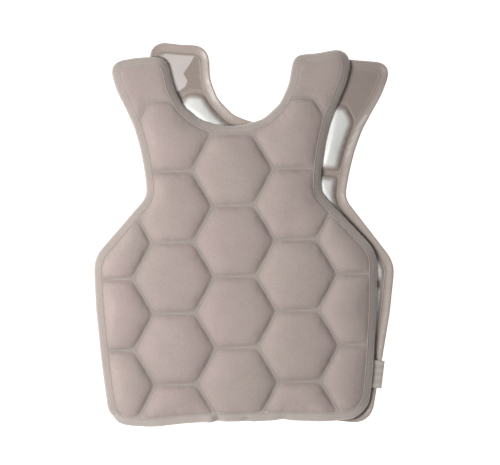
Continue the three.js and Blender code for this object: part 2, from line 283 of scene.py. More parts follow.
@dataclass(frozen=True)
class Pattern:
    """The cutting pattern that both panels share, x across from the centre line, y up from the hem."""

    width: float = 398
    height: float = 515
    neck_width: float = 179
    neck_depth: float = 100
    tab_width: float = 80
    chest_width: float = 244
    armpit_below_seam: float = 34
    flank_below_cell: float = 19
    hem_width: float = 363
    hem_wave: float = 1.5
    tab_pad_depth: float = 62
    last_seam_up: float = 5
    half_rows: int = 9
    outer_column_inset: float = 26.5
    seam_width: float = 4
    flange_width: float = 13
    weld_inset: float = 1.2
    smallest_share: float = 0.2
    loop_spacing: float = 3.2
    hem_round: float = 30
    flank_round: float = 42
    armpit_round: float = 18
    tab_round: float = 15
    hem_curve: tuple = ((0.3, 0.4), (0.62, -1.0))
    flank_curve: tuple = ((0.46, 0.64), (0.1, 0.3))
    haze_line: tuple = ((-104, 506), (-106.7, 500.1), (-111.5, 489.9), (-118.9, 476.7), (-112.5, 467.4),
                        (-114.7, 458.8), (-123.9, 451), (-135, 446), (-170, 448), (-178, 506))
    neck_curve: tuple = ((0.25, 0.975), (0.5, 0.905), (0.76, 0.7), (0.9, 0.44), (0.953, 0.196))
    armhole_curve: tuple = ((0.03, 0.113), (0.176, 0.234), (0.426, 0.365), (0.662, 0.496),
                            (0.824, 0.638), (0.926, 0.78), (0.982, 0.9))

    @property
    def tab_line(self) -> float:
        """The height at which the tabs' flat pads start."""
        return self.height - self.tab_pad_depth

    @property
    def row_pitch(self) -> float:
        """The distance between two rows of cells."""
        return 2 * (self.tab_line - self.last_seam_up) / self.half_rows

    @property
    def column_pitch(self) -> float:
        """The distance between two columns of cells."""
        return (self.width / 2 - self.outer_column_inset) / 2

    @property
    def grid_up(self) -> float:
        """The height of the honeycomb's middle."""
        return self.tab_line - 2.5 * self.row_pitch

    def corners(self) -> list[Corner]:
        """Lists the outline's corners.

        Returns:
            The corners, counter-clockwise from the hem's middle.
        """
        top, neck = self.height, self.neck_width / 2
        shoulder, chest = neck + self.tab_width, self.chest_width / 2
        flank, hem = self.width / 2, self.hem_width / 2
        armpit_up = self.tab_line - self.row_pitch - self.armpit_below_seam
        flank_up = self.tab_line - 2 * self.row_pitch - self.flank_below_cell
        curve = [(hem * a, self.hem_wave * d, 0) for a, d in self.hem_curve]
        curve += [(hem, 0, self.hem_round)]
        curve += [(flank - (flank - hem) * i, flank_up * (1 - d), 0) for i, d in self.flank_curve]
        curve += [(flank, flank_up, self.flank_round), (chest, armpit_up, self.armpit_round)]
        curve += [(shoulder - (shoulder - chest) * i, top - (top - armpit_up) * d, 0)
                  for i, d in reversed(self.armhole_curve)]
        curve += [(shoulder, top, self.tab_round), (neck, top, self.tab_round)]
        curve += [(neck * a, top - self.neck_depth * d, 0) for a, d in reversed(self.neck_curve)]
        right = [Corner(Vector((x, y)), radius) for x, y, radius in curve]
        left = [Corner(Vector((-c.at.x, c.at.y)), c.radius) for c in reversed(right)]
        return [*right, Corner(Vector((0, top - self.neck_depth))), *left]

    def edge(self, inwards: float = 0.0) -> np.ndarray:
        """Gives the outline as a smooth loop."""
        corners = inset(self.corners(), inwards) if inwards else self.corners()
        return smoothed(resampled(as_rows(rounded(corners)), self.loop_spacing), 5)

    def weld(self) -> np.ndarray:
        """Gives the middle of the weld round the rim."""
        return self.edge(self.flange_width - self.weld_inset)

    def haze(self) -> np.ndarray:
        """Gives the border of the left pad's haze, counter-clockwise."""
        return resampled(np.array(self.haze_line)[::-1], 2.0)

    def hexagon(self, centre: Vector, shrink: float) -> list[Vector]:
        """Gives a flat-topped hexagon of the honeycomb.

        Args:
            centre: Its middle.
            shrink: How far its sides are drawn in from the seams' middles.

        Returns:
            Its corners.
        """
        steps = ((2, 0), (1, 1), (-1, 1), (-2, 0), (-1, -1), (1, -1))
        size = Vector((self.column_pitch / 3, self.row_pitch / 2))
        corners = [Corner(centre + Vector((i * size.x, j * size.y))) for i, j in steps]
        return [c.at for c in inset(corners, shrink)] if shrink else [c.at for c in corners]

    def places(self) -> list[tuple[int, Vector]]:
        """Lists the honeycomb's hexagons.

        Returns:
            Column numbers and centres, from the top of each column.
        """
        found = []
        for column in range(-2, 3):
            shift = 0.0 if column % 2 else 0.5
            for k in range(6):
                up = self.grid_up + (2 - shift - k) * self.row_pitch
                if up > -self.row_pitch / 2:
                    found.append((column, Vector((self.column_pitch * column, up))))
        return found

    def cells(self) -> list[Cell]:
        """Cuts the hexagons by the weld line and keeps those with enough left.

        Returns:
            The welded cells.
        """
        weld = [Vector(p) for p in self.edge(self.flange_width)]
        found, rows = [], {}
        for column, centre in self.places():
            hexagon = self.hexagon(centre, self.seam_width / 2)
            loop = weld
            for i, a in enumerate(hexagon):
                loop = clipped(loop, a, hexagon[(i + 1) % 6])
            if len(loop) < 4 or area(as_rows(loop)) < self.smallest_share * area(as_rows(hexagon)):
                continue
            rows[column] = rows.get(column, 0) + 1
            letters = "c" if column == 0 else ("l" if column < 0 else "r") * abs(column)
            loop = smoothed(resampled(as_rows(loop), self.loop_spacing), 7)
            found.append(Cell(f"{letters}{rows[column]}", loop))
        return found


def area(loop: np.ndarray) -> float:
    """Measures the area inside a counter-clockwise loop."""
    x, y = loop[:, 0], loop[:, 1]
    return 0.5 * float(np.sum(x * np.roll(y, -1) - np.roll(x, -1) * y))


# ---- a panel's plan ----------------------------------------------------------------------------


@dataclass
class Plan:
    """A panel's fine mesh in plan, with what is known of each of its points."""

    points: np.ndarray
    triangles: np.ndarray
    rim: np.ndarray
    cell: np.ndarray
    depth: np.ndarray
    from_edge: np.ndarray
    outwards: np.ndarray
    from_weld: np.ndarray
    pad: np.ndarray

    @property
    def in_cell(self) -> np.ndarray:
        """Tells which points lie in a cell."""
        return self.cell >= 0

    @property
    def in_pad(self) -> np.ndarray:
        """Tells which points lie in a tab's pad."""
        return self.pad > 0.05

    @property
    def sides(self) -> np.ndarray:
        """Lists every side of the triangles once."""
        pairs = np.sort(np.vstack([self.triangles[:, [0, 1]], self.triangles[:, [1, 2]],
                                   self.triangles[:, [2, 0]]]), axis=1)
        return np.unique(pairs, axis=0)


@dataclass
class Planner:
    """Lays a fine mesh over the pattern, with its sides along every weld."""

    pattern: Pattern
    spacing: float = 3.6
    row_share: float = 0.866
    clear: float = 1.9
    rim_rings: tuple[float, ...] = (1.2, 2.6)
    haze_ring: float = 0.7
    on_weld: float = 0.02
    pad_below: float = 50
    pad_gap: float = 4.2

    def build(self) -> Plan:
        """Builds the plan.

        Returns:
            The plan, with the outline's points first and in order.
        """
        edge = self.pattern.edge()
        cells = self.pattern.cells()
        weld = self.pattern.weld()
        loops = [edge, *[c.loop for c in cells]]
        fine = [*(self.pattern.edge(inwards) for inwards in self.rim_rings), weld]
        fine += [self.ring_in(c.loop) for c in cells]
        fine += [self.ring_in(self.pattern.haze(), way * self.haze_ring) for way in (-1, 1)]
        points, sides, start = [], [], 0
        for loop in loops:
            points.append(loop)
            count = len(loop)
            sides += [(start + i, start + (i + 1) % count) for i in range(count)]
            start += count
        points += [*fine, self.lattice(edge, [*loops, *fine])]
        flat = np.vstack(points)
        found = delaunay_2d_cdt([Vector(p) for p in flat], sides, [], 1, 1e-4)
        return self.measured(as_rows(found[0]), np.array(found[2]), edge, weld, cells)

    def ring_in(self, loop: np.ndarray, reach: float = 1.9) -> np.ndarray:
        """Gives a second ring of points beside a loop.

        Args:
            loop: The loop's points, counter-clockwise.
            reach: How far inside it the ring lies.

        Returns:
            The ring's points.
        """
        ahead = np.roll(loop, -1, axis=0) - np.roll(loop, 1, axis=0)
        across = np.column_stack([-ahead[:, 1], ahead[:, 0]])
        return loop + reach * across / np.linalg.norm(across, axis=1)[:, None]

    def lattice(self, edge: np.ndarray, loops: list[np.ndarray]) -> np.ndarray:
        """Gives evenly spread points inside the outline.

        Args:
            edge: The outline.
            loops: The loops that the points stay clear of.

        Returns:
            The points.
        """
        low, high = edge.min(axis=0), edge.max(axis=0)
        rows = np.arange(low[1], high[1], self.spacing * self.row_share)
        across = np.arange(low[0], high[0], self.spacing)
        grid = np.vstack([np.column_stack([across + (k % 2) * self.spacing / 2, np.full(len(across), y)])
                          for k, y in enumerate(rows)])
        grid = grid[inside(grid, edge)]
        for loop in loops:
            low, high = loop.min(axis=0) - self.spacing, loop.max(axis=0) + self.spacing
            box = np.all((grid > low) & (grid < high), axis=1)
            keep = np.ones(len(grid), bool)
            keep[box] = distance_to(grid[box], loop) > self.clear
            grid = grid[keep]
        return grid

    def measured(self, points: np.ndarray, triangles: np.ndarray, edge: np.ndarray, weld: np.ndarray,
                 cells: list[Cell]) -> Plan:
        """Measures where each point lies.

        Args:
            points: The mesh's points in plan, the outline's first.
            triangles: Its triangles.
            edge: The outline.
            weld: The weld round the rim.
            cells: The welded cells.

        Returns:
            The plan with each point's cell and its distances from the welds and the edge.
        """
        cell = np.full(len(points), -1)
        depth = np.zeros(len(points))
        for number, one in enumerate(cells):
            held = np.flatnonzero(inside(points, one.loop))
            away = distance_to(points[held], one.loop)
            cell[held[away > self.on_weld]] = number
            depth[held] = away
        in_tab = (points[:, 1] > self.pattern.tab_line - self.pad_below) & inside(points, weld) & (cell < 0)
        pad = np.where(in_tab, distance_to(points, weld), 0.0)
        for one in cells:
            pad = np.minimum(pad, np.maximum(distance_to(points, one.loop) - self.pad_gap, 0.0))
        from_weld = distance_to(points, weld) * np.where(inside(points, weld), 1, -1)
        cross = np.cross(points[triangles[:, 1]] - points[triangles[:, 0]],
                         points[triangles[:, 2]] - points[triangles[:, 0]])
        triangles[cross < 0] = triangles[cross < 0][:, ::-1]
        from_edge, outwards = nearest(points, edge)
        return Plan(points, triangles[np.abs(cross) > 1e-6], np.arange(len(edge)), cell, depth,
                    from_edge, outwards, from_weld, pad)


# ---- finishes ----------------------------------------------------------------------------------


def new_material(name: str) -> tuple[bpy.types.Material, bpy.types.NodeTree]:
    """Starts an empty node material.

    Args:
        name: Its name.

    Returns:
        The material and its tree.
    """
    material = bpy.data.materials.new(name)
    material.use_nodes = True
    material.node_tree.nodes.clear()
    return material, material.node_tree


@dataclass(frozen=True)
class BrushedKnit:
    """Brushed, laminated polyester knit: a soft matte nap, paler and smoother where a weld presses it."""

    name: str = "brushed_polyester_knit"
    yarn: int = 0xB19F9C
    yarn_drift: int = 0xAB9E97
    pressed: int = 0xAFA39D
    # painted shade for the cover's folds, seams and pillows' feet; the film's cell sides use it too
    crease: int = 0x8A7D77
    # painted highlight along the cut edges and weld ribs, and painted light on the hem's flange
    edge_highlight: int = 0xC9C0BA
    wale_mm: float = 2.4
    roughness: float = 0.88

    def build(self) -> bpy.types.Material:
        """Builds the material; the wales of about 1 mm are drawn 2.4 mm apart so that they show.

        Returns:
            The material.
        """
        material, tree = new_material(self.name)
        place = add_node(tree, "ShaderNodeTexCoord").outputs["Object"]
        cloud = add_node(tree, "ShaderNodeTexNoise", {"Vector": place, "Scale": 22.0, "Detail": 3.0})
        fleck = add_node(tree, "ShaderNodeTexNoise", {"Vector": place, "Scale": 480.0, "Detail": 3.0})
        drift = add_node(tree, "ShaderNodeTexNoise", {"Vector": place, "Scale": 16.0, "Detail": 1.0})
        dye = add_node(tree, "ShaderNodeMapRange", {"Value": drift.outputs["Fac"], 1: 0.2, 2: 0.8})
        tone = add_node(tree, "ShaderNodeMix", {
            0: dye.outputs[0], 6: linear(self.yarn), 7: linear(self.yarn_drift)}, data_type="RGBA")
        # The marks mix in painted shade in folds and seams, and a painted highlight along the edges.
        for mark, shade in (("pressed", self.pressed), ("crease", self.crease), ("lip", self.edge_highlight)):
            share = add_node(tree, "ShaderNodeAttribute", attribute_name=mark)
            tone = add_node(tree, "ShaderNodeMix", {
                0: share.outputs["Fac"], 6: tone.outputs[2], 7: linear(shade)}, data_type="RGBA")
        soft = add_node(tree, "ShaderNodeMapRange", {
            "Value": cloud.outputs["Fac"], 1: 0.3, 2: 0.7, 3: 0.95, 4: 1.05})
        fine = add_node(tree, "ShaderNodeMapRange", {
            "Value": fleck.outputs["Fac"], 1: 0.3, 2: 0.7, 3: 0.94, 4: 1.06})
        both = add_node(tree, "ShaderNodeMath", {0: soft.outputs[0], 1: fine.outputs[0]},
                        operation="MULTIPLY")
        colour = add_node(tree, "ShaderNodeVectorMath", {0: tone.outputs[2], "Scale": both.outputs[0]},
                          operation="SCALE")
        wale = add_node(tree, "ShaderNodeTexVoronoi", {"Vector": place, "Scale": 1000 / self.wale_mm})
        rough = add_node(tree, "ShaderNodeBump", {
            "Height": wale.outputs["Distance"], "Strength": 0.25, "Distance": 0.0004})
        nap = add_node(tree, "ShaderNodeBump", {
            "Height": cloud.outputs["Fac"], "Strength": 0.2, "Distance": 0.002, "Normal": rough.outputs[0]})
        skin = add_node(tree, "ShaderNodeBsdfPrincipled", {
            "Base Color": colour.outputs[0], "Roughness": self.roughness, "Sheen Weight": 0.25,
            "Sheen Roughness": 0.5, "Specular IOR Level": 0.25, "Normal": nap.outputs[0]})
        add_node(tree, "ShaderNodeOutputMaterial", {"Surface": skin.outputs[0]})
        return material


@dataclass(frozen=True)
class WeldedFilm:
    """Clear polyurethane film, blown and welded: glossy, milky over the wax and taupe over bare cloth."""

    name: str = "welded_polyurethane_film"
    over_cloth: int = 0x9C8E87
    over_wax: int = 0xE9E9E5
    weld: int = 0xAC9F96
    # painted shade on the film at the cells' sloping sides, in the seams and in folds
    crease: int = 0x8D8075
    # painted highlight along the film's cut edge
    edge_highlight: int = 0xC6BCB5
    # the left tab's haze, and a painted highlight along the right armhole's rim
    haze: int = 0xCFC5C1
    roughness: float = 0.40

    def build(self) -> bpy.types.Material:
        """Builds the material; the wax shows through as soft-edged white.

        Returns:
            The material.
        """
        material, tree = new_material(self.name)
        place = add_node(tree, "ShaderNodeTexCoord").outputs["Object"]
        cloud = add_node(tree, "ShaderNodeTexNoise", {"Vector": place, "Scale": 40.0, "Detail": 3.0})
        ripple = add_node(tree, "ShaderNodeTexNoise", {"Vector": place, "Scale": 120.0, "Detail": 2.0})
        tone = linear(self.over_cloth)
        # wall mixes in painted shade, lip a painted highlight, and haze carries a painted highlight along
        # the right armhole's rim
        for mark, shade in (("pressed", self.weld), ("wall", self.crease), ("wax", self.over_wax),
                            ("haze", self.haze), ("lip", self.edge_highlight)):
            share = add_node(tree, "ShaderNodeAttribute", attribute_name=mark)
            tone = add_node(tree, "ShaderNodeMix", {0: share.outputs["Fac"], 6: tone, 7: linear(shade)},
                            data_type="RGBA").outputs[2]
        soft = add_node(tree, "ShaderNodeMapRange", {
            "Value": cloud.outputs["Fac"], 1: 0.3, 2: 0.7, 3: 0.96, 4: 1.03})
        colour = add_node(tree, "ShaderNodeVectorMath", {0: tone, "Scale": soft.outputs[0]},
                          operation="SCALE")
        waves = add_node(tree, "ShaderNodeBump", {
            "Height": ripple.outputs["Fac"], "Strength": 0.25, "Distance": 0.001})
        skin = add_node(tree, "ShaderNodeBsdfPrincipled", {
            "Base Color": colour.outputs[0], "Roughness": self.roughness, "Coat Weight": 0.28,
            "Coat Roughness": 0.26, "IOR": 1.5, "Normal": waves.outputs[0]})
        add_node(tree, "ShaderNodeOutputMaterial", {"Surface": skin.outputs[0]})
        return material


@dataclass(frozen=True)
class CastWax:
    """Cast paraffin wax: white, waxy and faintly clouded, with a soft shine."""

    name: str = "cast_paraffin_wax"
    colour: int = 0xE6E7E2
    clouded: int = 0xD9DAD3
    roughness: float = 0.45

    def build(self) -> bpy.types.Material:
        """Builds the material; light goes a little way into the wax.

        Returns:
            The material.
        """
        material, tree = new_material(self.name)
        place = add_node(tree, "ShaderNodeTexCoord").outputs["Object"]
        cloud = add_node(tree, "ShaderNodeTexNoise", {"Vector": place, "Scale": 60.0, "Detail": 4.0})
        tint = add_node(tree, "ShaderNodeMix", {
            0: cloud.outputs["Fac"], 6: linear(self.colour), 7: linear(self.clouded)}, data_type="RGBA")
        lumps = add_node(tree, "ShaderNodeBump", {
            "Height": cloud.outputs["Fac"], "Strength": 0.2, "Distance": 0.001})
        skin = add_node(tree, "ShaderNodeBsdfPrincipled", {
            "Base Color": tint.outputs[2], "Roughness": self.roughness, "IOR": 1.44,
            "Subsurface Weight": 0.2, "Subsurface Scale": 0.004, "Normal": lumps.outputs[0]})
        add_node(tree, "ShaderNodeOutputMaterial", {"Surface": skin.outputs[0]})
        return material


@dataclass(frozen=True)
class WovenTape:
    """Woven satin ribbon: fine ribs across its length and a faint shine."""

    name: str = "woven_satin_ribbon"
    colour: int = 0xC8C0B8
    rib_shade: int = 0xBAB1A9
    rib_mm: float = 1.6

    def build(self) -> bpy.types.Material:
        """Builds the material; the weft of about 0.3 mm is drawn 1.6 mm apart so that it shows.

        Returns:
            The material.
        """
        material, tree = new_material(self.name)
        place = add_node(tree, "ShaderNodeTexCoord").outputs["Object"]
        ribs = add_node(tree, "ShaderNodeTexWave", {
            "Vector": place, "Scale": 1000 / self.rib_mm / 20, "Distortion": 0.6}, bands_direction="Y")
        tint = add_node(tree, "ShaderNodeMix", {
            0: ribs.outputs["Fac"], 6: linear(self.colour), 7: linear(self.rib_shade)}, data_type="RGBA")
        bump = add_node(tree, "ShaderNodeBump", {
            "Height": ribs.outputs["Fac"], "Strength": 0.3, "Distance": 0.0003})
        skin = add_node(tree, "ShaderNodeBsdfPrincipled", {
            "Base Color": tint.outputs[2], "Roughness": 0.55, "Sheen Weight": 0.2,
            "Normal": bump.outputs[0]})
        add_node(tree, "ShaderNodeOutputMaterial", {"Surface": skin.outputs[0]})
        return material


@dataclass(frozen=True)
class PaintedBoard:
    """Smooth board painted matte white: an even pale ground."""

    name: str = "matte_painted_board"
    colour: int = 0xFBFBFB
    speckle: int = 0xF8F8F8
    glow: float = 0.8

    def build(self) -> bpy.types.Material:
        """Builds the material, faintly speckled.

        Returns:
            The material.
        """
        material, tree = new_material(self.name)
        place = add_node(tree, "ShaderNodeTexCoord").outputs["Object"]
        speck = add_node(tree, "ShaderNodeTexNoise", {"Vector": place, "Scale": 30.0})
        tint = add_node(tree, "ShaderNodeMix", {
            0: speck.outputs["Fac"], 6: linear(self.colour), 7: linear(self.speckle)}, data_type="RGBA")
        skin = add_node(tree, "ShaderNodeBsdfPrincipled", {
            "Base Color": tint.outputs[2], "Roughness": 0.9, "Specular IOR Level": 0.1,
            "Emission Color": linear(0xFFFFFF), "Emission Strength": self.glow})
        add_node(tree, "ShaderNodeOutputMaterial", {"Surface": skin.outputs[0]})
        return material


# ---- pieces ------------------------------------------------------------------------------------


def add_marks(mesh: bpy.types.Mesh, marks: dict[str, np.ndarray]) -> None:
    """Gives a mesh numbers for each of its points, which its material reads.

    Args:
        mesh: The mesh.
        marks: The numbers, by attribute name.
    """
    for key, values in marks.items():
        layer = mesh.attributes.new(key, "FLOAT", "POINT")
        layer.data.foreach_set("value", np.asarray(values, np.float32))


def new_piece(name: str, points: np.ndarray, faces: list, material: bpy.types.Material,
              marks: dict[str, np.ndarray] | None = None) -> bpy.types.Object:
    """Makes a smooth-shaded piece at the origin from points in metres.

    Args:
        name: The piece's name.
        points: Its points, one row each, in metres.
        faces: Its faces as point numbers.
        material: Its finish.
        marks: Numbers for each point, by attribute name.

    Returns:
        The piece's object.
    """
    mesh = bpy.data.meshes.new(name)
    mesh.from_pydata([tuple(p) for p in points], [], [tuple(int(i) for i in f) for f in faces])
    add_marks(mesh, marks or {})
    mesh.polygons.foreach_set("use_smooth", [True] * len(mesh.polygons))
    mesh.materials.append(material)
    mesh.update()
    piece = bpy.data.objects.new(name, mesh)
    bpy.context.scene.collection.objects.link(piece)
    return piece


def shell(upper: np.ndarray, lower: np.ndarray, triangles: np.ndarray,
          rim: np.ndarray) -> tuple[np.ndarray, list]:
    """Closes two faces over one plan into a thin solid.

    Args:
        upper: The upper face's points.
        lower: The lower face's points.
        triangles: The plan's triangles, counter-clockwise from above.
        rim: The outline's point numbers, counter-clockwise.

    Returns:
        All the points and faces.
    """
    count = len(upper)
    faces = [tuple(t) for t in triangles] + [tuple(reversed(t)) for t in (triangles + count).tolist()]
    for i, a in enumerate(rim):
        b = rim[(i + 1) % len(rim)]
        faces.append((a + count, b + count, b, a))
    return np.vstack([upper, lower]), faces


def rib_tree() -> bpy.types.NodeTree:
    """Builds the tree that sweeps a low rib along the welds.

    Returns:
        A Geometry Nodes tree with Width, Height and Finish inputs.
    """
    tree = bpy.data.node_groups.new("weld_rib_sweep", "GeometryNodeTree")
    sockets = tree.interface
    sockets.new_socket("Geometry", in_out="INPUT", socket_type="NodeSocketGeometry")
    sockets.new_socket("Width", in_out="INPUT", socket_type="NodeSocketFloat")
    sockets.new_socket("Height", in_out="INPUT", socket_type="NodeSocketFloat")
    sockets.new_socket("Finish", in_out="INPUT", socket_type="NodeSocketMaterial")
    sockets.new_socket("Geometry", in_out="OUTPUT", socket_type="NodeSocketGeometry")
    given = add_node(tree, "NodeGroupInput")
    path = add_node(tree, "GeometryNodeMeshToCurve", {0: given.outputs["Geometry"]})
    upright = add_node(tree, "GeometryNodeSetCurveNormal", {0: path.outputs[0]}, mode="Z_UP")
    ring = add_node(tree, "GeometryNodeCurvePrimitiveCircle", {"Resolution": 6, "Radius": 0.5})
    size = add_node(tree, "ShaderNodeCombineXYZ", {
        0: given.outputs["Width"], 1: given.outputs["Height"], 2: 1.0})
    flat = add_node(tree, "GeometryNodeTransform", {0: ring.outputs[0], "Scale": size.outputs[0]})
    swept = add_node(tree, "GeometryNodeCurveToMesh", {
        0: upright.outputs[0], 1: flat.outputs[0], "Fill Caps": True})
    smooth = add_node(tree, "GeometryNodeSetShadeSmooth", {0: swept.outputs[0]})
    whole = add_node(tree, "GeometryNodeRealizeInstances", {0: smooth.outputs[0]})
    dressed = add_node(tree, "GeometryNodeSetMaterial", {
        0: whole.outputs[0], "Material": given.outputs["Finish"]})
    add_node(tree, "NodeGroupOutput", {0: dressed.outputs[0]})
    return tree


def make_plain(piece: bpy.types.Object, tree: bpy.types.NodeTree, values: dict) -> None:
    """Runs a Geometry Nodes tree on a piece and keeps the result as a plain mesh.

    Args:
        piece: The object that the tree works on.
        tree: The tree.
        values: Its inputs by name.
    """
    modifier = piece.modifiers.new("made", "NODES")
    modifier.node_group = tree
    for item in tree.interface.items_tree:
        if item.item_type == "SOCKET" and item.in_out == "INPUT" and item.name in values:
            modifier[item.identifier] = values[item.name]
    graph = bpy.context.evaluated_depsgraph_get()
    mesh = bpy.data.meshes.new_from_object(piece.evaluated_get(graph), depsgraph=graph)
    piece.modifiers.clear()
    piece.data = mesh
    mesh.name = piece.name


@dataclass(frozen=True)
class Rise:
    """How high pillows stand off the weld plane when free, and how flat they are pressed."""

    free: float
    pressed: float


@dataclass
class Inflation:
    """Shapes the pillows: a skin over soft wax, flat on top and rounded down to its weld."""

    plan: Plan
    slope: float = 13.0
    rounds: int = 260
    evening: float = 0.62
    push: float = 1.5
    pressing: float = 1.6

    def heights(self, rise: Rise) -> np.ndarray:
        """Settles a skin that the wax pushes up and the welds hold down.

        Args:
            rise: How high it stands.

        Returns:
            The height of every point off the weld plane, in millimetres.
        """
        plan = self.plan
        sides = plan.sides
        degree = np.bincount(sides.ravel(), minlength=len(plan.points))
        length = float(np.mean(np.linalg.norm(plan.points[sides[:, 0]] - plan.points[sides[:, 1]], axis=1)))
        push = self.push * (length / self.slope) ** 2
        height = rise.free * (1 - np.exp(-plan.depth / self.slope))
        for _ in range(self.rounds):
            total = np.bincount(sides[:, 0], height[sides[:, 1]], len(height))
            total += np.bincount(sides[:, 1], height[sides[:, 0]], len(height))
            height = np.where(plan.in_cell, (total + push * rise.free) / (degree + push), 0.0)
        height *= rise.free / max(height.max(), 1e-6)
        for number in range(plan.cell.max() + 1):
            own = plan.cell == number
            height[own] *= (rise.free / height[own].max()) ** self.evening
        if rise.pressed < rise.free:
            most = 1 - math.exp(-self.pressing * rise.free / rise.pressed)
            height = rise.pressed * (1 - np.exp(-height * self.pressing / rise.pressed)) / most
        return height


@dataclass(frozen=True)
class Blowing:
    """Blows a welded sheet up as cloth, pinned at its welds, so that it strains like the real one."""

    pressure: float = 4.0
    slack: float = 0.004
    frames: int = 20
    cap: float = 2.2
    quality: int = 6
    mass: float = 0.3
    stiffness: float = 12
    bending: float = 1.5

    def run(self, plan: Plan, height: np.ndarray) -> tuple[np.ndarray, np.ndarray]:
        """Simulates one sheet, lying flat with its pillows up.

        Args:
            plan: The panel's plan.
            height: The height of each point before.

        Returns:
            How far each point moved in plan, and its height after, in millimetres.
        """
        start = np.column_stack([plan.points, height]) * MM
        mesh = bpy.data.meshes.new("blown_sheet")
        mesh.from_pydata([tuple(p) for p in start], [], plan.triangles.tolist())
        sheet = bpy.data.objects.new("blown_sheet", mesh)
        scene = bpy.context.scene
        scene.collection.objects.link(sheet)
        welds = sheet.vertex_groups.new(name="welds")
        welds.add([int(i) for i in np.flatnonzero(~plan.in_cell)], 1.0, "REPLACE")
        cloth = sheet.modifiers.new("cloth", "CLOTH")
        settings = cloth.settings
        settings.quality = self.quality
        settings.mass = self.mass
        settings.use_pressure = True
        settings.uniform_pressure_force = self.pressure
        settings.vertex_group_mass = "welds"
        settings.shrink_min = -self.slack
        settings.tension_stiffness = settings.compression_stiffness = self.stiffness
        settings.bending_stiffness = self.bending
        settings.effector_weights.gravity = 0
        cloth.collision_settings.use_self_collision = False
        cloth.point_cache.frame_start, cloth.point_cache.frame_end = 1, self.frames
        for number in range(1, self.frames + 1):
            scene.frame_set(number)
        graph = bpy.context.evaluated_depsgraph_get()
        result = sheet.evaluated_get(graph).data
        end = np.empty(3 * len(result.vertices))
        result.vertices.foreach_get("co", end)
        move = (end.reshape(-1, 3) - start) / MM
        size = np.linalg.norm(move, axis=1)
        LOG.info("blown: mean %.2f mm, most %.2f mm", size.mean(), size.max())
        move *= np.minimum(1, self.cap / np.maximum(size, 1e-9))[:, None]
        scene.frame_set(1)
        bpy.data.objects.remove(sheet)
        return move[:, :2], np.maximum(height + move[:, 2], 0)


@dataclass(frozen=True)
class Pull:
    """A spot where soft cloth lies a little off its pattern: where, which way, and how far round it."""

    across: float
    up: float
    shift_across: float
    shift_up: float
    lift: float
    reach: float


@dataclass(frozen=True)
class Lay:
    """How a panel's flat edges lie, in millimetres: how far the hem is drawn up and what sinks or rolls."""

    hem_drawn: float
    rim_droop: float
    rim_power: float
    rim_lean: float
    rim_roll: float
    lip_droop: float
    tab_droop: float


@dataclass(frozen=True)
class Marking:
    """How strongly the sheets are marked, 0 to 1, and how far each mark reaches, in millimetres.

    A pair of wax or wall values is for the middle columns and for the outer right one.
    The cover's fold and seam marks and the film's wall marks are painted shade; the edge, rib, hem and
    armhole marks are painted light and highlights.
    """

    # Painted shade on the cover: at the pillows' feet, stronger near the hem, in the seams and in the
    # puckers' folds.
    foot_shade: float = 0.6
    foot_reach: float = 1.6
    hem_shade: float = 0.6
    hem_rise: tuple[float, float] = (26, 18)
    strip_shade: float = 0.3
    pucker_shade: float = 0.5
    pucker_reach: float = 0.8
    # Painted highlights along the cut edges, and painted light on the hem's flange.
    edge_highlight_rise: tuple[float, float] = (1.92, 0.72)
    film_edge_highlight: float = 0.6
    hem_painted_light: float = 0.35
    hem_painted_light_up: float = 15
    outer_rise: tuple[float, float] = (125, 150)
    wax_start: tuple[float, float] = (4.0, 0.8)
    wax_full: tuple[float, float] = (11.0, 4.8)
    # Painted shade on the film: at the cells' sloping sides, in the seams, along the right rim's weld and
    # in the left tab's top fold.
    wall: float = 0.75
    wall_shade_reach: tuple[float, float] = (2.6, 1.2)
    seam_wall_shade: float = 0.5
    seam_wall_in: float = 1.5
    tab_wall_shade: float = 0.3
    outer_shade_line: float = 0.7
    outer_shade_line_reach: float = 1.3
    top_shade_line: float = 0.9
    top_shade_line_reach: float = 1.4
    haze_blur: float = 0.7
    haze_pad: float = 2
    # A painted highlight along the right armhole's rim, where the curled-up film catches the light.
    armhole_highlight_rise: tuple = ((364, 0), (384, 0.95), (425, 0.95), (488, 0))
    armhole_highlight_in: float = 2
    armhole_highlight_top: float = 478
    armhole_highlight_slope: float = 7 / 104
    armhole_highlight_reach: float = 1.9
    clear_tab: float = 0.8
    clear_tab_below: float = 30


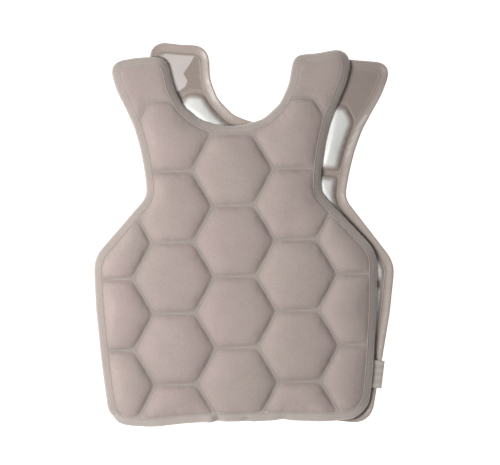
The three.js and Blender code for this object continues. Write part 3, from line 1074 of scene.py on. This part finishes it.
@dataclass
class Panel:
    """One body panel: its cover, its film, its wax blocks and the ribs of its welds."""

    name: str
    cover_face: Face
    turn: float
    weld_up: float
    cover_rise: Rise
    film_rise: Rise
    lay: Lay
    plan: Plan
    pattern: Pattern
    knit: bpy.types.Material
    film: bpy.types.Material
    wax: bpy.types.Material
    cover_wall: float = 1.4
    film_wall: float = 0.8
    clearance: float = 0.3
    edge_round: float = 0.7
    pad_puff: float = 1.8
    rib_width: float = 1.3
    rib_height: float = 0.9
    rib_up: float = 0.05
    rib_highlight: float = 0.12
    round_width: float = 1.2
    lip_width: float = 3.0
    pad_slope: float = 5
    roll_power: float = 0.8
    room_gap: float = 0.9
    room_slope: float = 0.7
    filled_in: float = 2
    filled_above: float = 6
    wax_inset: float = 5.0
    wax_round: float = 4.0
    wax_edge: float = 0.35
    seam_steps: int = 24
    seam_reach: float = 5
    marking: Marking = Marking()
    pulls: tuple[Pull, ...] = ()
    under: "Panel | None" = None
    shift: Vector = field(default_factory=lambda: Vector((0, 0)))

    def __post_init__(self) -> None:
        """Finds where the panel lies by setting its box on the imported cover's."""
        low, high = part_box(f"{self.name}_cover")
        pulls, self.pulls = self.pulls, ()
        flat = self.placed(self.plan.points[self.plan.rim], np.zeros(len(self.plan.rim)))
        self.pulls = pulls
        middle = 0.5 * (flat.min(axis=0) + flat.max(axis=0))
        self.shift = Vector((0.5 * (low.x + high.x) - middle[0], 0.5 * (low.y + high.y) - middle[1]))

    def placed(self, points: np.ndarray, height: np.ndarray) -> np.ndarray:
        """Takes points in plan to their place in the vest.

        Args:
            points: The points in the panel's own frame, in millimetres.
            height: Their heights off the weld plane.

        Returns:
            The points in metres.
        """
        below = np.maximum(1 - points[:, 1] / self.pattern.grid_up, 0)
        up = points[:, 1] + self.lay.hem_drawn * below ** 1.5
        wide, height = points[:, 0].copy(), np.array(height, float)
        for pull in self.pulls:
            away = (points[:, 0] - pull.across) ** 2 + (points[:, 1] - pull.up) ** 2
            share = np.exp(-away / pull.reach ** 2)
            wide += pull.shift_across * share
            up = up + pull.shift_up * share
            height += pull.lift * share
        cos, sin = math.cos(self.turn), math.sin(self.turn)
        across = cos * wide - sin * up
        along = sin * wide + cos * up
        place = np.column_stack([across, along, self.weld_up + height]) * MM
        place[:, :2] += np.array(self.shift)
        return place

    def droop(self, points: np.ndarray, from_edge: np.ndarray, outwards: np.ndarray) -> np.ndarray:
        """Says how far the weld plane has sunk: tabs bend down, and so does the rim.

        Args:
            points: The points in plan.
            from_edge: Their distances from the panel's edge.
            outwards: How far to the right the way out looks at the nearest edge.

        Returns:
            How far each point has sunk, in millimetres.
        """
        pattern, lay = self.pattern, self.lay
        share = ramp(points[:, 1], pattern.tab_line, pattern.height)
        rim = ramp(from_edge, pattern.flange_width, 0)
        lip = ramp(from_edge, self.lip_width, 0)
        sunk = lay.rim_droop * (1 + lay.rim_lean * outwards) * rim ** lay.rim_power
        return sunk + lay.tab_droop * share ** 2 + lay.lip_droop * lip ** 2

    def room_under(self, place: np.ndarray) -> np.ndarray:
        """Says how high there is room under the panel, and beside its edge.

        Args:
            place: Points in metres.

        Returns:
            The room's height at each point, in millimetres.
        """
        flat = (place[:, :2] - np.array(self.shift)) / MM
        cos, sin = math.cos(self.turn), math.sin(self.turn)
        own = np.column_stack([cos * flat[:, 0] + sin * flat[:, 1], cos * flat[:, 1] - sin * flat[:, 0]])
        pattern, edge = self.pattern, self.pattern.edge()
        away, outwards = nearest(own, edge)
        within = inside(own, edge)
        sunk = self.droop(own, np.where(within, away, 0.0), outwards)
        filled = within & (away > pattern.flange_width - self.filled_in)
        filled &= own[:, 1] < pattern.tab_line + self.filled_above
        room = self.weld_up - self.room_gap - self.film_wall - sunk
        room -= np.where(filled, self.film_rise.pressed, 0.0)
        return room + np.where(within, 0.0, self.room_slope * away)

    def sheet(self, kind: str, face: Face, height: np.ndarray, wall: float, finish: bpy.types.Material,
              marks: dict[str, np.ndarray], node: str, strain: np.ndarray) -> bpy.types.Object:
        """Makes one welded sheet of the panel as a thin closed piece.

        Args:
            kind: The end of the piece's name.
            face: The way its pillows stand.
            height: How far each point stands off the weld plane.
            wall: The sheet's thickness.
            finish: Its material.
            marks: What the material reads for each point of the plan.
            node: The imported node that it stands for.
            strain: How far each point has moved in plan.

        Returns:
            The piece.
        """
        plan = self.plan
        flat = plan.points + strain
        sunk = self.droop(plan.points, plan.from_edge, plan.outwards)
        rounding = self.edge_round * ramp(plan.from_edge, self.round_width, 0) ** 2
        near = face.value * (height + self.clearance / 2) - sunk
        far = face.value * (height + self.clearance / 2 + wall - rounding) - sunk
        upper, lower = (far, near) if face is Face.UP else (near, far)
        points, faces = shell(self.placed(flat, upper), self.placed(flat, lower), plan.triangles, plan.rim)
        doubled = {key: np.concatenate([values, values]) for key, values in marks.items()}
        piece = new_piece(f"{self.name}_{kind}", points, faces, finish, doubled)
        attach(piece, "root")
        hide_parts(node)
        return piece

    def marks(self) -> tuple[dict[str, np.ndarray], dict[str, np.ndarray]]:
        """Says for each point how pressed, waxy and hazy it looks, and where painted shade and painted
        highlights lie.

        Returns:
            Numbers from 0 to 1 for each point, by what they say: the cover's, then the film's.
        """
        plan, pattern, mark = self.plan, self.pattern, self.marking
        across, up = plan.points.T
        bare = ~plan.in_cell & ~plan.in_pad
        strip = bare & (plan.from_edge > pattern.flange_width - 1)
        pressed = np.where(bare, 1.0, 0.0)
        # Painted highlight along the cut edge.
        lip = ramp(plan.from_edge, *mark.edge_highlight_rise)
        # Painted light on the hem's flange, which droops away from the light.
        pale = np.where(~plan.in_cell & (up < mark.hem_painted_light_up), mark.hem_painted_light, 0)
        outer = ramp(across, *mark.outer_rise)
        start, full = (np.interp(outer, (0, 1), pair) for pair in (mark.wax_start, mark.wax_full))
        wax = ramp(plan.depth, start, full)
        tab = ramp(up, pattern.tab_line - mark.clear_tab_below, pattern.tab_line) * (across > 0)
        cloth = {"pressed": pressed, "crease": self.crease_shades(strip), "lip": np.maximum(lip, pale)}
        film = {"pressed": pressed * (1 - mark.clear_tab * tab), "lip": mark.film_edge_highlight * lip,
                "wall": self.wall_shades(strip, outer), "wax": wax * wax * (3 - 2 * wax), "haze": self.haze_and_painted_highlight()}
        return cloth, film

    def crease_shades(self, strip: np.ndarray) -> np.ndarray:
        """Says how much painted shade darkens the cover: at the pillows' feet, more near the hem, in the
        seams and in the hem's puckers.

        Args:
            strip: True for each point in a seam between cells.

        Returns:
            A number from 0 to 1 for each point.
        """
        plan, mark = self.plan, self.marking
        # Painted shade, darkest where the pillows meet their welds and in the puckers.
        crease = np.where(plan.in_cell, bell(plan.depth, mark.foot_reach) * mark.foot_shade, 0.0)
        crease *= 1 + mark.hem_shade * ramp(plan.points[:, 1], *mark.hem_rise)
        crease = np.where(strip, mark.strip_shade, crease)
        for pull in self.pulls:
            away = np.linalg.norm(plan.points - (pull.across, pull.up), axis=1)
            depth = min(-mark.pucker_shade * pull.lift, 1)
            crease = np.maximum(crease, depth * bell(away, mark.pucker_reach * pull.reach))
        return crease

    def wall_shades(self, strip: np.ndarray, outer: np.ndarray) -> np.ndarray:
        """Says how much painted shade darkens the film: at the cells' sloping sides, in the seams, along
        the right rim's weld and in the left tab's top fold.

        Args:
            strip: True for each point in a seam between cells.
            outer: How far each point belongs to the outer right column, 0 to 1.

        Returns:
            A number from 0 to 1 for each point.
        """
        plan, pattern, mark = self.plan, self.pattern, self.marking
        across, up = plan.points.T
        # All of this is painted shade on the film.
        wall = np.where(strip & (plan.from_weld < mark.seam_wall_in), mark.seam_wall_shade, 0)
        reach = np.interp(outer, (0, 1), mark.wall_shade_reach)
        wall = np.where(plan.in_cell, mark.wall * bell(plan.depth, reach), wall)
        wall = np.where(up > pattern.tab_line - 4, mark.tab_wall_shade * wall, wall)
        line = mark.outer_shade_line * outer * bell(plan.from_weld, mark.outer_shade_line_reach)
        wall = np.maximum(wall, line * (up < pattern.tab_line))
        line = mark.top_shade_line * bell(plan.from_weld, mark.top_shade_line_reach)
        top = (across < 0) & (up > pattern.height - pattern.flange_width - 5)
        return np.where(top, np.maximum(wall, line), wall)

    def haze_and_painted_highlight(self) -> np.ndarray:
        """Says how hazy the film is in the left tab's blotch, and where a painted highlight runs along the
        right armhole's rim.

        Returns:
            A number from 0 to 1 for each point.
        """
        plan, mark = self.plan, self.marking
        across, up = plan.points.T
        border = self.pattern.haze()
        depth = distance_to(plan.points, border) * np.where(inside(plan.points, border), 1, -1)
        blotch = ramp(depth, -mark.haze_blur, mark.haze_blur) * ramp(plan.pad, 0, mark.haze_pad)
        # A painted highlight along the right armhole's rim, where the curled-up film catches the light.
        fold = mark.armhole_highlight_in + mark.armhole_highlight_slope * (mark.armhole_highlight_top - up)
        white = np.interp(up, *zip(*mark.armhole_highlight_rise)) * (across > 0) * (plan.outwards > 0)
        white = white * bell(plan.from_edge - fold, mark.armhole_highlight_reach)
        return np.maximum(np.where(plan.in_pad, blotch, 0.0), white)

    def puffed(self, height: np.ndarray, rise: float) -> np.ndarray:
        """Raises the tabs' pads a little, and the rim into a low roll.

        Args:
            height: The height of each point off the weld plane.
            rise: How high the pads stand.

        Returns:
            The raised heights.
        """
        plan = self.plan
        pad = rise * (1 - np.exp(-np.maximum(plan.pad, 0) / self.pad_slope))
        share = ramp(plan.from_edge, 0, self.pattern.flange_width - self.pattern.weld_inset)
        roll = self.lay.rim_roll * np.sin(math.pi * share) ** self.roll_power
        return height + np.where(plan.in_cell, 0.0, np.maximum(pad, roll))

    def build(self) -> list[bpy.types.Object]:
        """Builds and dresses the whole panel.

        Returns:
            Its pieces.
        """
        inflation = Inflation(self.plan)
        cloth_marks, film_marks = self.marks()
        cover, film = inflation.heights(self.cover_rise), inflation.heights(self.film_rise)
        cover_strain, film_strain = np.zeros_like(self.plan.points), np.zeros_like(self.plan.points)
        upper = cover if self.cover_face is Face.UP else film
        strain, upper = Blowing().run(self.plan, upper)
        if self.cover_face is Face.UP:
            cover, cover_strain = upper, strain
        else:
            film, film_strain = upper, strain
        if self.under is not None:
            room = self.under.room_under(self.placed(self.plan.points + film_strain, film))
            sunk = self.droop(self.plan.points, self.plan.from_edge, self.plan.outwards)
            film = np.clip(room - self.weld_up - self.film_wall - self.clearance + sunk, 0, film)
        cover = self.puffed(cover, self.pad_puff)
        film_face = Face.DOWN if self.cover_face is Face.UP else Face.UP
        cover_piece = self.sheet("knit_cover", self.cover_face, cover, self.cover_wall, self.knit,
                                 cloth_marks, f"{self.name}_cover", cover_strain)
        film_piece = self.sheet("film_lining", film_face, film, self.film_wall, self.film,
                                film_marks, f"{self.name}_lining", film_strain)
        above, below = (cover, film) if self.cover_face is Face.UP else (film, cover)
        blocks = [self.block(k, cell, above, below) for k, cell in enumerate(self.pattern.cells())]
        return [cover_piece, film_piece, *blocks, self.ribs()]

    def block(self, number: int, cell: Cell, above: np.ndarray, below: np.ndarray) -> bpy.types.Object:
        """Makes the wax block of one cell, between its two sheets.

        Args:
            number: The cell's number in the plan.
            cell: The cell.
            above: The heights of the sheet above, off the weld plane.
            below: The heights of the sheet below.

        Returns:
            The piece.
        """
        plan = self.plan
        held = (plan.cell == number) & (plan.depth > self.wax_inset)
        kept = plan.triangles[np.all(held[plan.triangles], axis=1)]
        used = np.unique(kept)
        order = np.full(len(plan.points), -1)
        order[used] = np.arange(len(used))
        kept = order[kept]
        ahead = {}
        sides = {(a, b) for t in kept.tolist() for a, b in zip(t, t[1:] + t[:1])}
        for a, b in sides:
            if (b, a) not in sides:
                ahead[a] = b
        rim = [min(ahead)]
        while ahead[rim[-1]] != rim[0]:
            rim.append(ahead[rim[-1]])
        edge = ramp(plan.depth[used], self.wax_inset, self.wax_inset + self.wax_round)
        draw = self.wax_edge + (1 - self.wax_edge) * np.sqrt(edge)
        sunk = self.droop(plan.points[used], plan.from_edge[used], plan.outwards[used])
        upper = self.placed(plan.points[used], draw * (above[used] - self.clearance) - sunk)
        lower = self.placed(plan.points[used], -draw * (below[used] - self.clearance) - sunk)
        points, faces = shell(upper, lower, kept, np.array(rim))
        piece = new_piece(f"{self.name}_wax_block_{cell.name}", points, faces, self.wax)
        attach(piece, "root")
        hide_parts(f"{self.name}_wax_{cell.name}")
        return piece

    def seams(self) -> list[np.ndarray]:
        """Lists the middles of the welds between cells, and the weld round the rim.

        Returns:
            Runs of points in plan.
        """
        pattern = self.pattern
        weld = pattern.weld()
        cells = np.vstack([c.loop for c in pattern.cells()])
        found, runs = set(), [np.vstack([weld, weld[:1]])]
        for _, centre in pattern.places():
            corners = pattern.hexagon(centre, 0)
            for i, a in enumerate(corners):
                b = corners[(i + 1) % 6]
                key = (round((a.x + b.x) / 2), round((a.y + b.y) / 2))
                if key in found:
                    continue
                found.add(key)
                line = as_rows([a.lerp(b, k / self.seam_steps) for k in range(self.seam_steps + 1)])
                away = np.min(np.linalg.norm(line[:, None] - cells, axis=2), axis=1)
                good = inside(line, weld) & (away < self.seam_reach)
                if np.count_nonzero(good) > 2:
                    runs.append(line[good])
        return runs

    def ribs(self) -> bpy.types.Object:
        """Sweeps a low rib along every weld on the side that faces up.

        Returns:
            The piece.
        """
        points, sides, start = [], [], 0
        wall = self.cover_wall if self.cover_face is Face.UP else self.film_wall
        edge = self.pattern.edge()
        for run in self.seams():
            sunk = self.droop(run, *nearest(run, edge))
            points.append(self.placed(run, self.clearance / 2 + wall + self.rib_up - sunk))
            sides += [(start + i, start + i + 1) for i in range(len(run) - 1)]
            start += len(run)
        mesh = bpy.data.meshes.new(f"{self.name}_weld_ribs")
        mesh.from_pydata([tuple(p) for p in np.vstack(points)], sides, [])
        piece = bpy.data.objects.new(f"{self.name}_weld_ribs", mesh)
        bpy.context.scene.collection.objects.link(piece)
        finish = self.knit if self.cover_face is Face.UP else self.film
        make_plain(piece, rib_tree(), {"Width": self.rib_width * MM, "Height": self.rib_height * MM,
                                       "Finish": finish})
        whole = np.ones(len(piece.data.vertices))
        # The ribs carry a little painted highlight.
        add_marks(piece.data, {"pressed": whole, "lip": self.rib_highlight * whole})
        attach(piece, "root")
        return piece


@dataclass
class SideLabel:
    """The small folded tape under the front panel's right rim."""

    finish: bpy.types.Material
    tuck: float = 6
    reach: float = 15
    sag: float = 2.5
    lowered: float = 2.2
    fold_gap: float = 0.78
    wall: float = 0.5
    rows: int = 18
    ends: tuple[float, float] = (0.02, 0.97)
    fold_at: float = 0.985
    twist: float = 0.25
    twist_turn: float = 5

    def profile(self, width: float, top: float) -> list[Vector]:
        """Draws the folded tape's upper line from its tucked end out to the fold and back.

        Args:
            width: How wide the tape lies, in metres.
            top: Its highest point.

        Returns:
            Points across and up, in metres.
        """
        over = [(t, 0.0) for t in np.linspace(*self.ends, 9)]
        fold = [(self.fold_at, 0.3), (self.fold_at, 0.7)]
        under = [(t, 1.0) for t, _ in reversed(over)]
        line = []
        for share, down in (*over, *fold, *under):
            out = max((share * width / MM - self.tuck) / self.reach, 0)
            sunk = self.sag * out ** 1.5 + down * self.fold_gap
            line.append(Vector((share * width, top - sunk * MM)))
        return line

    def build(self) -> bpy.types.Object:
        """Folds the tape in two and lays it in its node's place.

        Returns:
            The piece.
        """
        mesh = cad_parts["side_label"].data
        given = np.array([tuple(v.co) for v in mesh.vertices])
        middle = given[:, :2].mean(axis=0)
        spread = given[:, :2] - middle
        _, axes = np.linalg.eigh(spread.T @ spread)
        along, across = axes[:, 1] * np.sign(axes[1, 1]), axes[:, 0] * np.sign(axes[0, 0])
        run, wide = spread @ along, spread @ across
        line = self.profile(float(np.ptp(wide)), float(given[:, 2].max()) - self.lowered * MM)
        inner = []
        for i, p in enumerate(line):
            way = (line[min(i + 1, len(line) - 1)] - line[max(i - 1, 0)]).normalized()
            inner.append(p - left_of(way) * self.wall * MM)
        ring = [*line, *reversed(inner)]
        points = []
        for k in range(self.rows + 1):
            place = middle + along * (run.min() + np.ptp(run) * k / self.rows) + across * wide.min()
            bend = self.twist * MM * math.sin(self.twist_turn * k / self.rows)
            points += [(*(place + across * p.x), p.y + bend * p.x / np.ptp(wide)) for p in ring]
        count, half = len(ring), len(line)
        faces = []
        for k in range(self.rows):
            for i in range(count):
                j, here, there = (i + 1) % count, k * count, (k + 1) * count
                faces.append((here + i, there + i, there + j, here + j))
        for i in range(half - 1):
            end = (i, i + 1, count - 2 - i, count - 1 - i)
            faces += [end, tuple(self.rows * count + n for n in reversed(end))]
        piece = new_piece("side_label_tape", np.array(points), faces, self.finish)
        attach(piece, "root")
        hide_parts("side_label")
        return piece


# ---- the stage ---------------------------------------------------------------------------------


@dataclass
class Studio:
    """The floor, the lights and the camera."""

    frame_width: float = 0.700
    aim: tuple[float, float] = (0.0085, 0.0029)
    subject_up: float = 0.020
    distance: float = 3.0
    sensor: float = 36
    surround: float = 0.17
    floor_sides: int = 48
    floor_profile: tuple = ((5.0, 0.0), (5.5, 0.05), (5.85, 0.2), (6.0, 0.45), (6.0, 0.75))

    def build(self) -> None:
        """Sets up the floor, the lights and the camera."""
        self.floor()
        self.lights()
        self.camera()

    def floor(self) -> None:
        """Lays a plain pale floor, whose far edges curve up into a low surround."""
        count = self.floor_sides
        ring = [(math.cos(math.tau * k / count), math.sin(math.tau * k / count)) for k in range(count)]
        points = [(x * reach, y * reach, up) for reach, up in self.floor_profile for x, y in ring]
        faces = [tuple(range(count))]
        for row in range(len(self.floor_profile) - 1):
            here, there = row * count, (row + 1) * count
            faces += [(here + k, there + k, there + (k + 1) % count, here + (k + 1) % count)
                      for k in range(count)]
        new_piece("floor", np.array(points), faces, PaintedBoard().build())

    def lights(self) -> None:
        """Lights the vest softly from the left, with an even white surround."""
        world = bpy.data.worlds.new("studio")
        world.use_nodes = True
        tree = world.node_tree
        tree.nodes.clear()
        glow = add_node(tree, "ShaderNodeBackground", {"Color": (1, 1, 1, 1), "Strength": self.surround})
        add_node(tree, "ShaderNodeOutputWorld", {"Surface": glow.outputs[0]})
        bpy.context.scene.world = world
        bpy.context.scene.view_settings.view_transform = "Standard"
        self.area("key", (-1.0, -0.05, 1.25), 0.6, 26)
        self.area("fill", (0.6, -1.3, 1.3), 1.0, 1.6)

    def area(self, name: str, place: tuple[float, float, float], size: float, power: float) -> None:
        """Adds a square soft light that looks at the vest.

        Args:
            name: Its name.
            place: Where it stands, in metres.
            size: Its side.
            power: Its power in watts.
        """
        light = bpy.data.lights.new(name, "AREA")
        light.size, light.energy = size, power
        lamp = bpy.data.objects.new(name, light)
        lamp.location = place
        lamp.rotation_euler = (-Vector(place)).to_track_quat("-Z", "Y").to_euler()
        bpy.context.scene.collection.objects.link(lamp)

    def camera(self) -> None:
        """Looks straight down, with the photograph's frame."""
        lens = bpy.data.cameras.new("camera")
        lens.sensor_width = self.sensor
        lens.lens = self.sensor * self.distance / self.frame_width
        lens.clip_end = 50
        camera = bpy.data.objects.new("camera", lens)
        camera.location = (*self.aim, self.subject_up + self.distance)
        bpy.context.scene.collection.objects.link(camera)
        bpy.context.scene.camera = camera


# Spots of the tabs, hems, corners and front right rim that lie a little off the pattern.
FRONT_PULLS = (
    Pull(150, 515, -1, 3.4, 1.5, 22), Pull(108, 515, 0, -1.2, 0, 24), Pull(-158, 512, 2.5, -3, 0, 20),
    Pull(-125, -1, 0, -2.6, 0, 32), Pull(61, 0, 0, 1.8, -0.8, 9), Pull(-31, 4, 0.8, 2.6, -3.0, 5.5),
    Pull(-41, 3, 0.6, -0.8, 2.2, 7), Pull(9, 3, 0, 0.8, -1.8, 6), Pull(20, 0, 0, -0.6, 0.7, 16),
    Pull(120, 4, 0, -1.0, 0.8, 22), Pull(-178, 12, 1.2, 1.2, 0, 7), Pull(170, 14, -1.8, 2.2, 0, 16),
    Pull(190, 52, 0, 0, 2.4, 17), Pull(190, 74, 0, 0, 2.4, 17),
)
BACK_PULLS = (
    Pull(166, 8, 1.8, -3.0, 0, 36), Pull(-150, 517, 0, 2.4, 0, 15), Pull(-128, 517, 0, 1.6, 0, 15),
    Pull(-106, 517, 0, 2.4, 0, 15), Pull(-88, 498, 1.6, 0, 0, 18),
)


def planned(pattern: Pattern) -> tuple[Plan, Pattern]:
    """Plans a panel from its pattern."""
    return Planner(pattern).build(), pattern


def main() -> None:
    """Builds the vest piece by piece."""
    logging.basicConfig(level=logging.INFO, format="%(message)s")
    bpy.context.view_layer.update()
    Studio().build()
    knit, film, wax = BrushedKnit().build(), WeldedFilm().build(), CastWax().build()
    shared = {"knit": knit, "film": film, "wax": wax}
    front = Panel("front", Face.UP, math.radians(1.4), 19.15, Rise(9.5, 9.5), Rise(7, 4),
                  Lay(hem_drawn=0, rim_droop=5.0, rim_power=1.15, rim_lean=0.6, rim_roll=0.4, lip_droop=0.4,
                      tab_droop=3.0), *planned(Pattern(flange_width=11.5)), **shared, pulls=FRONT_PULLS)
    back = Panel("back", Face.DOWN, math.radians(-4.6), 5.95, Rise(9.5, 4.4), Rise(7, 7),
                 Lay(hem_drawn=10, rim_droop=-3.2, rim_power=2.2, rim_lean=0, rim_roll=0, lip_droop=0.9,
                     tab_droop=1.2),
                 *planned(Pattern(flange_width=13.5)), **shared, pulls=BACK_PULLS, under=front)
    for panel in (back, front):
        for piece in panel.build():
            LOG.info("%s: %d faces", piece.name, len(piece.data.polygons))
    label = SideLabel(WovenTape().build()).build()
    LOG.info("%s: %d faces", label.name, len(label.data.polygons))


if __name__ == "__main__":
    main()
